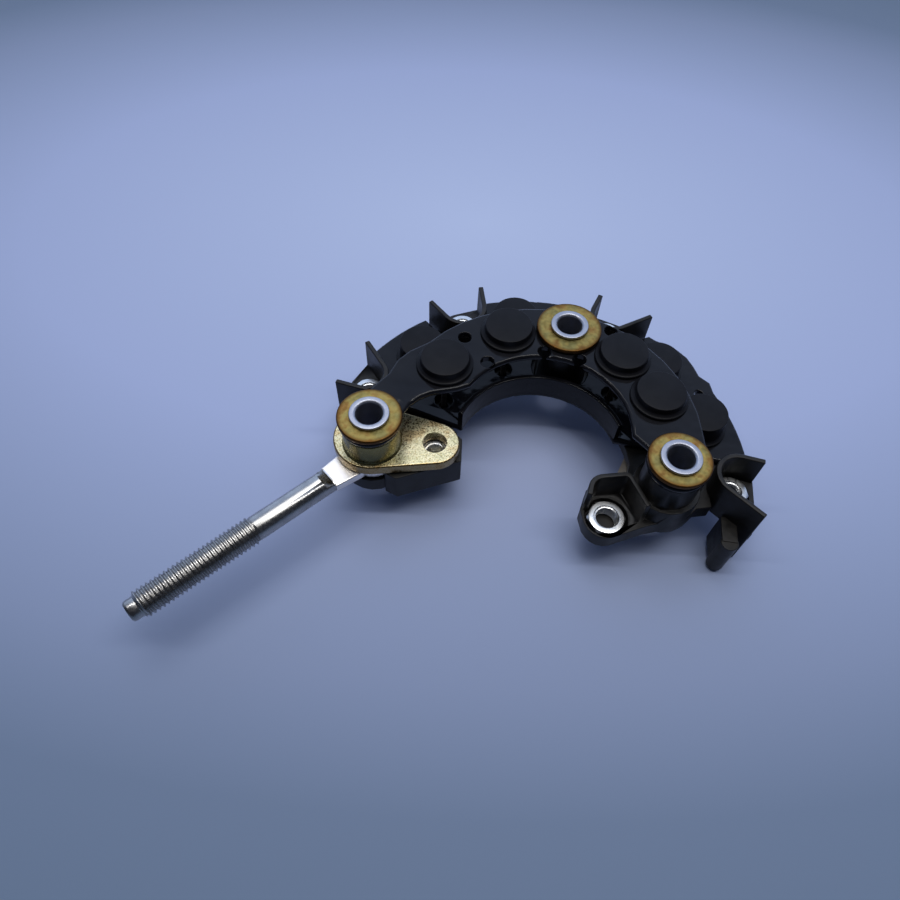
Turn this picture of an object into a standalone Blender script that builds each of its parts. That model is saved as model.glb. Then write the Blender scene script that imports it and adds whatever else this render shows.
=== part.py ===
"""Alternator rectifier assembly: two C-shaped heat sinks with eight diodes, a moulded
terminal block, mounting sleeves and a threaded output stud on its plated base.

The ring of the heat sinks is centred on the z axis while the pieces are made. Angles are
in degrees, counted from +X towards +Y. Heights are counted down from the top of the
mounting sleeves, and the finished assembly is lifted so that its legs stand on z = 0.
"""

import bpy
import bmesh
from math import acos, atan2, ceil, cos, degrees, hypot, pi, radians, sin, sqrt
from mathutils import Vector

MM = 0.001           # the sizes below are millimetres, and the meshes are in metres
GAP = 0.3            # what is left between two pieces that touch

# Mounting sleeves, one at each end of the C and one in the middle
SLEEVE_PLACES = {"left": (-47.65, -1.1), "middle": (8.3, 34.3), "right": (35.0, -10.9)}
SLEEVE_FLANGE_RADIUS = 5.5
SLEEVE_FLANGE_THICKNESS = 0.8
SLEEVE_TUBE_RADIUS = 4.4
SLEEVE_BORE_RADIUS = 3.65
BUSH_WALL = 1.0
WASHER_RADII = {"left": 8.95, "middle": 9.6, "right": 8.6}
WASHER_THICKNESS = 1.5

# Heat sinks
RING_INNER = 24.0
UPPER_OUTER = 43.2
LOWER_OUTER = 62.4
LOWER_SHIFT = (-0.54, 0.94)
FIN_THICKNESS = 2.2
FIN_ROUNDING = 0.8
FIN_SPACING = 14.7
UPPER_LOBE_RADIUS = 8.5
LOWER_END = [(63.2, -0.5), (28.9, 6.0)]
LOWER_END_INNER_ANGLE = 16.8
LOWER_END_ANGLE = 158.0
LOWER_LOBE = (50.8, 41.3, 13.9)
LOWER_EAR = (58.6, 28.6, 5.0)
CURB_HEIGHT = 6.6
CURB_WALL = 1.6
CURB_SETBACK = 0.2
CURB_ENDS_SHORT = 1.2
CURB_ROUNDING = 0.4
NOTCH_ROOM = 0.9
SMALL_HOLE_RADIUS = 2.0
UPPER_SMALL_HOLES = [(37.5, 127.0), (26.2, 127.0), (25.9, 88.0), (25.8, 65.0), (40.9, 59.0)]
LOWER_SMALL_HOLES = [(57.5, 27.0), (64.2, 22.6), (64.6, 33.0), (64.4, 88.5)]

# Diodes
UPPER_DIODE_RING = 34.0
UPPER_DIODE_ANGLES = [145.6, 106.7, 46.3, 17.8]
LOWER_DIODE_RING = 50.8
LOWER_DIODE_ANGLES = [134.5, 97.0, 41.3, 15.5]
DIODE_TOP_RADIUS = 6.9
DIODE_SEAT_RADIUS = 8.2
DIODE_BODY_RADIUS = 6.2
UPPER_DIODE_HEIGHT = 3.4
LOWER_DIODE_HEIGHT = 7.2
STEM_RADIUS = 2.2
STEM_LENGTH = 1.4
LEAD_RADIUS = 0.8
LEAD_BELOW_STRAP = 1.3

# Terminal block
PLATE_THICKNESS = 3.5
PLATE_INNER = 27.6
PLATE_OUTER = 55.0
PLATE_START = -6.0
PLATE_END = 171.0
BOSS_RADIUS = 8.0
COLLAR_DROP = 9.0
COLLAR_WIDER = 1.4
ARM_RISE = 1.8
ARM_NOSE_RADIUS = 5.9
ARM_SHROUD_CORNERS = (4.0, 1.8)
POCKET_ANGLES = [154.7, 114.4, 61.7, -11.4]
POCKET_NUT_TURNS = [1.9, 0.0, 2.5, 2.9]
POCKET_RADII = [5.8, 6.8, 6.0, 6.3]
POCKET_RING = 56.0
POCKET_WALL = 1.5
POCKET_TIP_RING = 63.0
POCKET_TIP_TURN = 8.1
POCKET_LIP = 63.3
SHROUD_HEIGHT = 10.8
SHROUD_ROUNDING = 0.35
LEG_SIDES = [1, 1, -1, -1]
LEG_RADIUS = 2.5
LEG_RING = 58.2
LEG_TURN = 12.6
LEG_LENGTH = 11.5
GUIDE_WIDTH = 7.5
GUIDE_SHORTER = 0.6
WEB_WIDTH = 4.4
WEB_SHORTER = 2.0

# Terminal nuts
NUT_ACROSS_FLATS = 9.0
ARM_NUT_ACROSS_FLATS = 10.0
NUT_HEIGHT = 5.0
NUT_ABOVE_FLOOR = 2.0
NUT_BORE_RADIUS = 2.6
ARM_NUT_BORE_RADIUS = 3.1
NUT_COLLAR_HEIGHT = 0.5
NUT_CLEARANCE = 0.35
NUT_TURN_STEP = 15.0
OUTPUT_NUT_TURN = 20.0
ARM_NUT_PLACE = (18.8, -18.6)

# Output base and stud
BASE_BOSS_RADIUS = 8.1
BASE_BOSS_HEIGHT = 7.9
BASE_LOBE_SHIFT = (-0.35, 1.57)
BASE_LOBE_RADIUS = 10.9
BASE_EAR_PLACE = (-29.9, -0.9)
BASE_EAR_RADIUS = 7.1
BASE_HOLE_RADIUS = 3.5
BASE_ROUNDING = 0.35
BASE_FLANGE_THICKNESS = 3.6
STUD_ANGLE = 222.3
STUD_LENGTH = 76.5
STUD_THREAD_RADIUS = 4.0
STUD_SHANK_RADIUS = 3.55
STUD_THREAD_LENGTH = 33.0
STUD_POINT_LENGTH = 3.0
STUD_POINT_RADIUS = 3.0
EYE_RADIUS = 8.2
EYE_ROOM_LENGTH = 24.0
EYE_ROOM_WIDER = 0.5
TANG_THICKNESS = 3.0
TANG_LENGTH = 15.5
TANG_TRANSITION = 5.0
TANG_HALF_WIDTH = 3.8
OUTPUT_DROP = 1.7

# Straps
STRAP_WIDTH = 4.6
STRAP_THICKNESS = 0.9
STRAP_EYE_WALL = 1.6

# Heights worked out from the stack
WASHER_TOP = -(SLEEVE_FLANGE_THICKNESS + GAP)
UPPER_TOP = WASHER_TOP - WASHER_THICKNESS - GAP
UPPER_BOTTOM = UPPER_TOP - FIN_THICKNESS
LOWER_TOP = UPPER_BOTTOM - FIN_SPACING
LOWER_BOTTOM = LOWER_TOP - FIN_THICKNESS
PLATE_TOP = LOWER_BOTTOM - GAP
PLATE_BOTTOM = PLATE_TOP - PLATE_THICKNESS
BOSS_TOP = UPPER_BOTTOM - GAP
FLANGE_TOP = BOSS_TOP - BASE_BOSS_HEIGHT
FLANGE_BOTTOM = FLANGE_TOP - BASE_FLANGE_THICKNESS
TANG_TOP = FLANGE_BOTTOM - GAP
TANG_BOTTOM = TANG_TOP - TANG_THICKNESS
SHROUD_TOP = PLATE_TOP + SHROUD_HEIGHT
STRAP_TOP = PLATE_BOTTOM - GAP
STRAP_BOTTOM = STRAP_TOP - STRAP_THICKNESS
NUT_TOP = PLATE_TOP + NUT_ABOVE_FLOOR
NUT_BOTTOM = NUT_TOP - NUT_HEIGHT
BUSH_INNER = SLEEVE_TUBE_RADIUS + GAP
BUSH_OUTER = BUSH_INNER + BUSH_WALL
SLEEVE_HOLE = BUSH_OUTER + GAP


def clear_scene():
    for obj in list(bpy.data.objects):
        bpy.data.objects.remove(obj, do_unlink=True)


def polar(radius, angle, centre=(0.0, 0.0)):
    """A point at this radius and angle round a centre."""
    return (centre[0] + radius * cos(radians(angle)), centre[1] + radius * sin(radians(angle)))


def arc(centre, radius, start, end, step=9.0):
    """Points along an arc from one angle to another, both ends included."""
    count = max(1, ceil(abs(end - start) / step))
    return [polar(radius, start + (end - start) * i / count, centre) for i in range(count + 1)]


def material(name, colour, roughness, metallic):
    mat = bpy.data.materials.new(name)
    mat.use_nodes = True
    shader = mat.node_tree.nodes["Principled BSDF"]
    shader.inputs["Base Color"].default_value = (*colour, 1.0)
    shader.inputs["Roughness"].default_value = roughness
    shader.inputs["Metallic"].default_value = metallic
    return mat


def finish(name, bm, mat=None):
    """Turn a bmesh drawn in millimetres into a smooth shaded object in metres."""
    bmesh.ops.scale(bm, vec=(MM, MM, MM), verts=bm.verts)
    bmesh.ops.recalc_face_normals(bm, faces=bm.faces)
    mesh = bpy.data.meshes.new(name)
    bm.to_mesh(mesh)
    bm.free()
    mesh.shade_smooth()
    mesh.set_sharp_from_angle(angle=radians(35))
    obj = bpy.data.objects.new(name, mesh)
    bpy.context.collection.objects.link(obj)
    if mat:
        mesh.materials.append(mat)
    return obj


def prism(name, outline, bottom, top, mat=None, rounding=0.0, segments=2):
    """A plate with this outline between two heights, with its rims rounded."""
    bm = bmesh.new()
    face = bm.faces.new([bm.verts.new((x, y, bottom)) for x, y in outline])
    grown = bmesh.ops.extrude_face_region(bm, geom=[face])
    lifted = [item for item in grown["geom"] if isinstance(item, bmesh.types.BMVert)]
    bmesh.ops.translate(bm, vec=(0, 0, top - bottom), verts=lifted)
    if rounding:
        rims = [e for e in bm.edges if abs(e.verts[0].co.z - e.verts[1].co.z) < 1e-6]
        bmesh.ops.bevel(bm, geom=rims, offset=rounding, segments=segments, profile=0.5,
                        affect="EDGES", material=-1)
    return finish(name, bm, mat)


def turned(name, profile, mat=None, steps=24, place=(0.0, 0.0)):
    """A turned piece: a closed profile of (radius, height) points, spun about z."""
    bm = bmesh.new()
    ring = [bm.verts.new((r, 0, z)) for r, z in profile]
    closed = min(r for r, z in profile) > 0
    count = len(ring) if closed else len(ring) - 1
    edges = [bm.edges.new((ring[i], ring[(i + 1) % len(ring)])) for i in range(count)]
    bmesh.ops.spin(bm, geom=ring + edges, cent=(0, 0, 0), axis=(0, 0, 1), angle=2 * pi,
                   steps=steps, use_merge=True)
    bmesh.ops.remove_doubles(bm, verts=bm.verts, dist=1e-5)
    obj = finish(name, bm, mat)
    obj.location = (place[0] * MM, place[1] * MM, 0)
    return obj


def lofted(name, sections, mat=None, steps=20):
    """A bar along +X through sections of (x, half width, half height)."""
    bm = bmesh.new()
    rings = []
    for x, wide, high in sections:
        reach = max(wide, high)
        turns = [2 * pi * i / steps for i in range(steps)]
        rings.append([bm.verts.new((x, wide * cos(t), max(-high, min(high, reach * sin(t)))))
                      for t in turns])
    for first, second in zip(rings, rings[1:]):
        for i in range(steps):
            j = (i + 1) % steps
            bm.faces.new((first[i], first[j], second[j], second[i]))
    bm.faces.new(rings[0])
    bm.faces.new(rings[-1])
    return finish(name, bm, mat)


def drum(radius, bottom, top, place, steps=20):
    """A plain round bar or cutter standing at a place."""
    return turned("drum", [(0, bottom), (radius, bottom), (radius, top), (0, top)],
                  steps=steps, place=place)


def merge(target, others, operation="UNION", solver="EXACT"):
    """Join other solids to a solid, or cut them from it, and delete them."""
    for other in others:
        modifier = target.modifiers.new("merge", "BOOLEAN")
        modifier.operation = operation
        modifier.solver = solver
        modifier.object = other
        graph = bpy.context.evaluated_depsgraph_get()
        baked = bpy.data.meshes.new_from_object(target.evaluated_get(graph))
        target.modifiers.clear()
        target.data = baked
        bpy.data.objects.remove(other, do_unlink=True)
    target.data.shade_smooth()
    target.data.set_sharp_from_angle(angle=radians(35))
    return target


def cut(target, others, solver="EXACT"):
    return merge(target, others, "DIFFERENCE", solver)


def thicken(path, half):
    """The outline of a wall that follows a path, with mitred corners and square ends."""
    points = [Vector(p) for p in path]
    left, right = [], []
    for i, point in enumerate(points):
        before = (point - points[i - 1]).normalized() if i else None
        after = (points[i + 1] - point).normalized() if i < len(points) - 1 else None
        along = ((before or after) + (after or before)).normalized()
        side = Vector((-along.y, along.x))
        lean = side.dot(Vector((-(before or after).y, (before or after).x)))
        reach = half / max(lean, 0.5)
        left.append(tuple(point + side * reach))
        right.append(tuple(point - side * reach))
    return left + right[::-1]


def hull_of_two(first, first_radius, second, second_radius, step=9.0):
    """The outline round two discs and the straight flanks between them."""
    gap = hypot(second[0] - first[0], second[1] - first[1])
    way = degrees(atan2(second[1] - first[1], second[0] - first[0]))
    lean = degrees(acos((first_radius - second_radius) / gap))
    return (arc(first, first_radius, way + lean, way + 360 - lean, step)
            + arc(second, second_radius, way - lean, way + lean, step))


def diode_place(ring, angle):
    return polar(ring, angle)


def pocket_centre(pocket):
    """The nut's place, which is turned a little from the middle between the wall's tips."""
    return polar(POCKET_RING, POCKET_ANGLES[pocket] + POCKET_NUT_TURNS[pocket])


def shroud_path(pocket):
    """The middle line of a pocket's wall: tip, round the back of the nut, other tip."""
    angle, radius = POCKET_ANGLES[pocket], POCKET_RADII[pocket]
    centre = pocket_centre(pocket)
    ends = []
    for turn in (POCKET_TIP_TURN, -POCKET_TIP_TURN):
        tip = polar(POCKET_TIP_RING, angle + turn)
        way = degrees(atan2(tip[1] - centre[1], tip[0] - centre[0]))
        lean = degrees(acos(radius / hypot(tip[0] - centre[0], tip[1] - centre[1])))
        ends.append((tip, way + lean if turn > 0 else way - lean))
    (first, start), (last, end) = ends
    while end < start:
        end += 360
    return [first] + arc(centre, radius, start, end, 18.0) + [last]


def pocket_floor(pocket):
    path = shroud_path(pocket)
    angle = POCKET_ANGLES[pocket]
    lip = arc((0, 0), POCKET_LIP, angle - POCKET_TIP_TURN, angle + POCKET_TIP_TURN)
    return path + lip


def notch_outline(pocket):
    """The opening in the lower heat sink that leaves room for a pocket."""
    path = shroud_path(pocket)
    angle = POCKET_ANGLES[pocket]
    room = POCKET_WALL / 2 + NOTCH_ROOM
    outer = thicken(path, room)[len(path):][::-1]
    far = LOWER_OUTER + 6
    return outer + [polar(far, angle - POCKET_TIP_TURN), polar(far, angle + POCKET_TIP_TURN)]


def upper_outline():
    """The C of the upper heat sink with a round lobe under each end sleeve."""
    left = SLEEVE_PLACES["left"]
    right = SLEEVE_PLACES["right"]
    lobe = UPPER_LOBE_RADIUS
    outline = arc(right, lobe, 150, 368)
    outline += arc((0, 0), UPPER_OUTER, -1, 140)
    outline += [polar(UPPER_OUTER + 2.2, 148), polar(UPPER_OUTER + 3.3, 154),
                polar(UPPER_OUTER + 3.3, 161)]
    outline += arc(left, lobe, 112, 372)
    outline += [(left[0] + 10.4, left[1] + 5.7), (left[0] + 13.1, left[1] + 8.3),
                (left[0] + 16.0, left[1] + 10.0), polar(RING_INNER + 2.4, 156)]
    outline += arc((0, 0), RING_INNER, 149, -6)
    return outline


def make_upper_heat_sink(mat):
    fin = prism("upper_heat_sink", upper_outline(), UPPER_BOTTOM, UPPER_TOP, mat, FIN_ROUNDING)
    low, high = UPPER_BOTTOM - 1, UPPER_TOP + 1
    holes = [drum(SLEEVE_HOLE, low, high, place) for place in SLEEVE_PLACES.values()]
    holes += [drum(DIODE_BODY_RADIUS + GAP, low, high, diode_place(UPPER_DIODE_RING, angle))
              for angle in UPPER_DIODE_ANGLES]
    holes += [drum(SMALL_HOLE_RADIUS, low, high, polar(*place), 12)
              for place in UPPER_SMALL_HOLES]
    return cut(fin, holes)


def lower_rim(angle):
    """A point on the outer edge of the lower heat sink, which has a lobe and an ear."""
    reach = 0.0
    lean = atan2(LOWER_SHIFT[1], LOWER_SHIFT[0])
    edge = (hypot(*LOWER_SHIFT), degrees(lean), LOWER_OUTER)
    for ring, turn, radius in (edge, LOWER_LOBE, LOWER_EAR):
        across = ring * sin(radians(angle - turn))
        if abs(across) < radius:
            along = ring * cos(radians(angle - turn))
            reach = max(reach, along + sqrt(radius ** 2 - across ** 2))
    return polar(reach, angle)


def make_curb():
    """The rim that stands up along the inner edge of the lower heat sink."""
    inner = RING_INNER + CURB_SETBACK
    start = LOWER_END_INNER_ANGLE + CURB_ENDS_SHORT
    end = LOWER_END_ANGLE - CURB_ENDS_SHORT
    outline = arc((0, 0), inner + CURB_WALL, start, end) + arc((0, 0), inner, end, start)
    return prism("curb", outline, LOWER_BOTTOM + FIN_ROUNDING, LOWER_TOP + CURB_HEIGHT,
                 rounding=CURB_ROUNDING, segments=1)


def make_lower_heat_sink(mat):
    step = 3.5
    count = ceil((LOWER_END_ANGLE - 1.0) / step)
    turns = [1.0 + (LOWER_END_ANGLE - 1.0) * i / count for i in range(count + 1)]
    outline = ([lower_rim(turn) for turn in turns]
               + arc((0, 0), RING_INNER, LOWER_END_ANGLE, LOWER_END_INNER_ANGLE)
               + LOWER_END[::-1])
    fin = prism("lower_heat_sink", outline, LOWER_BOTTOM, LOWER_TOP, mat, FIN_ROUNDING)
    merge(fin, [make_curb()])
    low, high = LOWER_BOTTOM - 1, LOWER_TOP + 1
    notches = [prism("notch", notch_outline(pocket), low, high)
               for pocket in range(len(POCKET_ANGLES))]
    holes = [drum(DIODE_BODY_RADIUS + GAP, low, high, diode_place(LOWER_DIODE_RING, angle))
             for angle in LOWER_DIODE_ANGLES]
    holes += [drum(STEM_RADIUS + 0.6, low, high, diode_place(UPPER_DIODE_RING, angle), 12)
              for angle in UPPER_DIODE_ANGLES]
    holes += [drum(BOSS_RADIUS + 1.0, low, high, SLEEVE_PLACES["middle"])]
    holes += [drum(SMALL_HOLE_RADIUS * 0.7, low, high, polar(*place), 10)
              for place in LOWER_SMALL_HOLES]
    return cut(fin, notches + holes)


def make_diode(name, place, seat, height, mat):
    """A pressed-in diode: a flat can with a flared foot, a body in the hole and a lead."""
    top = seat + height
    foot = seat + GAP
    bottom = seat - FIN_THICKNESS
    lead_end = STRAP_BOTTOM - LEAD_BELOW_STRAP
    flare = DIODE_SEAT_RADIUS - DIODE_TOP_RADIUS
    profile = [(0, top), (DIODE_TOP_RADIUS - 0.5, top), (DIODE_TOP_RADIUS, top - 0.4),
               (DIODE_TOP_RADIUS + 0.2 * flare, foot + 1.3), (DIODE_SEAT_RADIUS, foot + 0.5),
               (DIODE_SEAT_RADIUS, foot), (DIODE_BODY_RADIUS, foot), (DIODE_BODY_RADIUS, bottom),
               (STEM_RADIUS, bottom), (LEAD_RADIUS, bottom - STEM_LENGTH),
               (LEAD_RADIUS, lead_end), (0, lead_end)]
    return turned(name, profile, mat, 22, place)


def make_sleeve(name, place, mat):
    """A hollow rivet: a flange on the top washer, a tube and a flange under the block."""
    end = PLATE_BOTTOM - GAP
    foot = end - SLEEVE_FLANGE_THICKNESS
    flange, tube, bore = SLEEVE_FLANGE_RADIUS, SLEEVE_TUBE_RADIUS, SLEEVE_BORE_RADIUS
    under = -SLEEVE_FLANGE_THICKNESS
    profile = [(bore + 0.5, 0), (flange - 0.35, 0), (flange, -0.35), (flange, under),
               (tube, under), (tube, end), (flange, end), (flange, foot), (bore, foot),
               (bore, -0.5)]
    return turned(name, profile, mat, 24, place)


def make_washer(name, place, radius, mat):
    top, bottom = WASHER_TOP, WASHER_TOP - WASHER_THICKNESS
    profile = [(BUSH_INNER, top), (radius - 0.4, top), (radius, top - 0.4), (radius, bottom),
               (BUSH_INNER, bottom)]
    return turned(name, profile, mat, 24, place)


def make_bush(name, place, mat):
    profile = [(BUSH_INNER, UPPER_TOP), (BUSH_OUTER, UPPER_TOP), (BUSH_OUTER, PLATE_BOTTOM),
               (BUSH_INNER, PLATE_BOTTOM)]
    return turned(name, profile, mat, 20, place)


def make_nut(name, place, across, bore, top, height, mat, turn=0.0):
    """A hexagon nut with a round collar on its upper face."""
    corner = across / 2 / cos(radians(30))
    outline = [polar(corner, turn + 60 * i) for i in range(6)]
    shoulder = top - NUT_COLLAR_HEIGHT
    nut = prism(name, outline, top - height, shoulder, mat)
    collar = drum(across / 2 - 0.5, top - height + 0.4, top, (0, 0))
    merge(nut, [collar])
    cut(nut, [drum(bore, top - height - 1, top + 1, (0, 0), 16)])
    nut.location = (place[0] * MM, place[1] * MM, 0)
    return nut


def shroud(pocket):
    return prism("shroud", thicken(shroud_path(pocket), POCKET_WALL / 2), PLATE_BOTTOM + 0.5,
                 SHROUD_TOP, rounding=SHROUD_ROUNDING, segments=1)


def arm_shroud():
    """The squarer shroud of the end arm, open towards -Y."""
    x, y = ARM_NUT_PLACE
    back_left, back_right = ARM_SHROUD_CORNERS
    path = [(x - 6.0, y + 2.0)]
    path += arc((x - 1.4, y + 4.0), back_left, 165, 105, 15.0)
    path += arc((x + 4.2, y + 7.1), back_right, 95, 20, 25.0)
    path += [(x + 9.6, y - 0.9)]
    return prism("arm_shroud", thicken(path, POCKET_WALL / 2), PLATE_BOTTOM + 0.5, SHROUD_TOP,
                 rounding=SHROUD_ROUNDING, segments=1)


def arm_outline():
    """The moulding round the right sleeve and out to the end terminal."""
    x, y = ARM_NUT_PLACE
    right = SLEEVE_PLACES["right"]
    outline = [(x - 7.2, y + 2.0), (x - 6.4, y - 2.2)]
    outline += arc((x - 0.6, y - 0.6), ARM_NOSE_RADIUS, 215, 285, 20.0)
    outline += [(x + 10.8, y - 2.4), (right[0] + 6.3, right[1] - 7.0)]
    outline += [(right[0] + 9.6, right[1] - 3.8), (right[0] + 14.0, right[1] - 3.0),
                (right[0] + 14.0, right[1] + 6.0), (right[0] + 6.0, right[1] + 12.0),
                (right[0] - 8.0, right[1] + 10.0), (x + 6.0, y + 9.6), (x - 5.0, y + 8.6)]
    return outline


def output_outline():
    """The moulding under the ear of the output base, with a slanted front edge."""
    x, y = BASE_EAR_PLACE
    return [(x + 7.8, y - 3.4), (x + 7.8, y + 4.2), (x + 3.0, y + 9.0), (x - 14.0, y + 9.0),
            (x - 14.0, y - 8.4), (x - 10.4, y - 10.2)]


def leg_with_skirt(pocket):
    """A pocket wall carried down as a guide plate, with a round leg and a web beside it."""
    path = shroud_path(pocket)
    angle, side = POCKET_ANGLES[pocket], LEG_SIDES[pocket]
    tip, tangent = (path[0], path[1]) if side > 0 else (path[-1], path[-2])
    reach = GUIDE_WIDTH / hypot(tangent[0] - tip[0], tangent[1] - tip[1])
    inner = (tip[0] + (tangent[0] - tip[0]) * reach, tip[1] + (tangent[1] - tip[1]) * reach)
    foot = PLATE_BOTTOM - LEG_LENGTH
    guide = prism("guide", thicken([tip, inner], POCKET_WALL / 2), foot + GUIDE_SHORTER,
                  PLATE_BOTTOM + 1.0)
    place = polar(LEG_RING, angle + side * LEG_TURN)
    profile = [(0, PLATE_TOP - 0.4), (LEG_RADIUS, PLATE_TOP - 0.4), (LEG_RADIUS, foot + 1.2),
               (LEG_RADIUS * 0.75, foot + 0.3), (LEG_RADIUS * 0.4, foot), (0, foot)]
    leg = turned("leg", profile, steps=16, place=place)
    web = prism("web", thicken([inner, place], WEB_WIDTH / 2), foot + WEB_SHORTER,
                PLATE_TOP - 0.1)
    return [guide, leg, web]


def make_terminal_block(mat):
    """The moulding: a ring plate with spacers, pockets, the end arm and the legs."""
    outline = (arc((0, 0), PLATE_OUTER, PLATE_START, PLATE_END, 6.0)
               + arc((0, 0), PLATE_INNER, PLATE_END, PLATE_START, 9.0))
    block = prism("terminal_block", outline, PLATE_BOTTOM, PLATE_TOP, mat)
    left, middle, right = (SLEEVE_PLACES[k] for k in ("left", "middle", "right"))
    arm_top = PLATE_TOP + ARM_RISE
    pieces = [prism("arm", arm_outline(), PLATE_BOTTOM, arm_top)]
    pieces += [prism("output_seat", output_outline(), PLATE_BOTTOM - OUTPUT_DROP, TANG_TOP)]
    pieces += [drum(EYE_RADIUS + 0.8, PLATE_BOTTOM, TANG_BOTTOM - GAP, left)]
    pieces += [drum(BOSS_RADIUS, PLATE_BOTTOM + 0.4, BOSS_TOP, middle),
               drum(BOSS_RADIUS, PLATE_BOTTOM + 0.4, BOSS_TOP, right),
               drum(BOSS_RADIUS + COLLAR_WIDER, PLATE_BOTTOM + 0.4, BOSS_TOP - COLLAR_DROP,
                    right)]
    for pocket in range(len(POCKET_ANGLES)):
        pieces += [prism("floor", pocket_floor(pocket), PLATE_BOTTOM, PLATE_TOP), shroud(pocket)]
        pieces += leg_with_skirt(pocket)
    pieces += [arm_shroud()]
    merge(block, pieces, solver="MANIFOLD")
    return cut(block, terminal_block_cutters(), "MANIFOLD")


def terminal_block_cutters():
    low, high = PLATE_BOTTOM - 1, BOSS_TOP + 1
    holes = [drum(SLEEVE_HOLE, low, high, place) for place in SLEEVE_PLACES.values()]
    above = PLATE_TOP + ARM_RISE + 1
    holes += [drum(LEAD_RADIUS + 0.5, low, above, diode_place(UPPER_DIODE_RING, angle), 12)
              for angle in UPPER_DIODE_ANGLES]
    holes += [drum(STEM_RADIUS + 0.4, low, above, diode_place(LOWER_DIODE_RING, angle), 12)
              for angle in LOWER_DIODE_ANGLES]
    left = SLEEVE_PLACES["left"]
    holes += [drum(SLEEVE_FLANGE_RADIUS + 0.7, PLATE_BOTTOM - 3, PLATE_BOTTOM, left)]
    wide = EYE_RADIUS + EYE_ROOM_WIDER
    room = hull_of_two(left, wide, polar(EYE_ROOM_LENGTH, STUD_ANGLE, left), wide)
    holes += [prism("eye_room", room, TANG_BOTTOM - GAP, TANG_TOP + 2)]
    for place, across, bore in nut_list():
        recess = across / 2 / cos(radians(30)) + NUT_CLEARANCE
        holes += [drum(recess, NUT_BOTTOM - GAP, PLATE_TOP + ARM_RISE + 0.5, place, 18),
                  drum(bore + 0.4, low, NUT_BOTTOM + 1, place, 12)]
    ear = BASE_EAR_PLACE
    corner = NUT_ACROSS_FLATS / 2 / cos(radians(30)) + NUT_CLEARANCE
    holes += [drum(corner, TANG_TOP - NUT_HEIGHT - 1, TANG_TOP + 1, ear, 18)]
    holes += [drum(NUT_BORE_RADIUS + 0.4, low, TANG_TOP - NUT_HEIGHT, ear, 12)]
    return holes


def nut_list():
    """Place, size and bore of each terminal nut."""
    nuts = [(pocket_centre(pocket), NUT_ACROSS_FLATS, NUT_BORE_RADIUS)
            for pocket in range(len(POCKET_ANGLES))]
    return nuts + [(ARM_NUT_PLACE, ARM_NUT_ACROSS_FLATS, ARM_NUT_BORE_RADIUS)]


def make_output_base(mat):
    """The plated boss and the oblong flange with its ear."""
    left = SLEEVE_PLACES["left"]
    lobe = (left[0] + BASE_LOBE_SHIFT[0], left[1] + BASE_LOBE_SHIFT[1])
    outline = hull_of_two(lobe, BASE_LOBE_RADIUS, BASE_EAR_PLACE, BASE_EAR_RADIUS)
    base = prism("output_base", outline, FLANGE_BOTTOM, FLANGE_TOP, mat,
                 BASE_ROUNDING, 1)
    merge(base, [drum(BASE_BOSS_RADIUS, FLANGE_BOTTOM + 1, BOSS_TOP, left, 28)])
    low = FLANGE_BOTTOM - 1
    return cut(base, [drum(SLEEVE_HOLE, low, BOSS_TOP + 1, left),
                      drum(BASE_HOLE_RADIUS, low, FLANGE_TOP + 1, BASE_EAR_PLACE, 18)])


def make_output_stud(mat):
    """A round bar along +X from the eye, flattened into the tang at the eye's end."""
    middle = (TANG_TOP + TANG_BOTTOM) / 2
    shank, thread, point = STUD_SHANK_RADIUS, STUD_THREAD_RADIUS, STUD_POINT_RADIUS
    thread_start = STUD_LENGTH - STUD_POINT_LENGTH - STUD_THREAD_LENGTH
    tang_end = TANG_LENGTH + TANG_TRANSITION
    point_start = STUD_LENGTH - STUD_POINT_LENGTH
    sections = [(TANG_LENGTH - 1.0, shank, TANG_THICKNESS / 2 - 0.1), (tang_end, shank, shank),
                (thread_start - 0.6, shank, shank), (thread_start, thread, thread),
                (point_start - 0.8, thread, thread), (point_start, point, point),
                (STUD_LENGTH - 0.6, point, point), (STUD_LENGTH, point - 0.6, point - 0.6)]
    bar = lofted("output_stud", sections, mat)
    half = TANG_HALF_WIDTH
    outline = arc((0, 0), EYE_RADIUS, 36, 324) + [(TANG_LENGTH, -half), (TANG_LENGTH, half)]
    tang = prism("tang", outline, -TANG_THICKNESS / 2, TANG_THICKNESS / 2, rounding=0.4, segments=1)
    merge(bar, [tang])
    cut(bar, [drum(SLEEVE_HOLE, -10, 10, (0, 0))])
    left = SLEEVE_PLACES["left"]
    bar.location = (left[0] * MM, left[1] * MM, middle * MM)
    bar.rotation_euler = (0, 0, radians(STUD_ANGLE))
    return bar


def strap_paths():
    upper = [diode_place(UPPER_DIODE_RING, a) for a in UPPER_DIODE_ANGLES]
    lower = [diode_place(LOWER_DIODE_RING, a) for a in LOWER_DIODE_ANGLES]
    nuts = [pocket_centre(pocket) for pocket in range(len(POCKET_ANGLES))]
    return [[lower[0], upper[0], nuts[0]], [upper[1], lower[1], nuts[1]],
            [lower[2], upper[2], nuts[2]], [ARM_NUT_PLACE, upper[3], lower[3], nuts[3]]]


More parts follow.
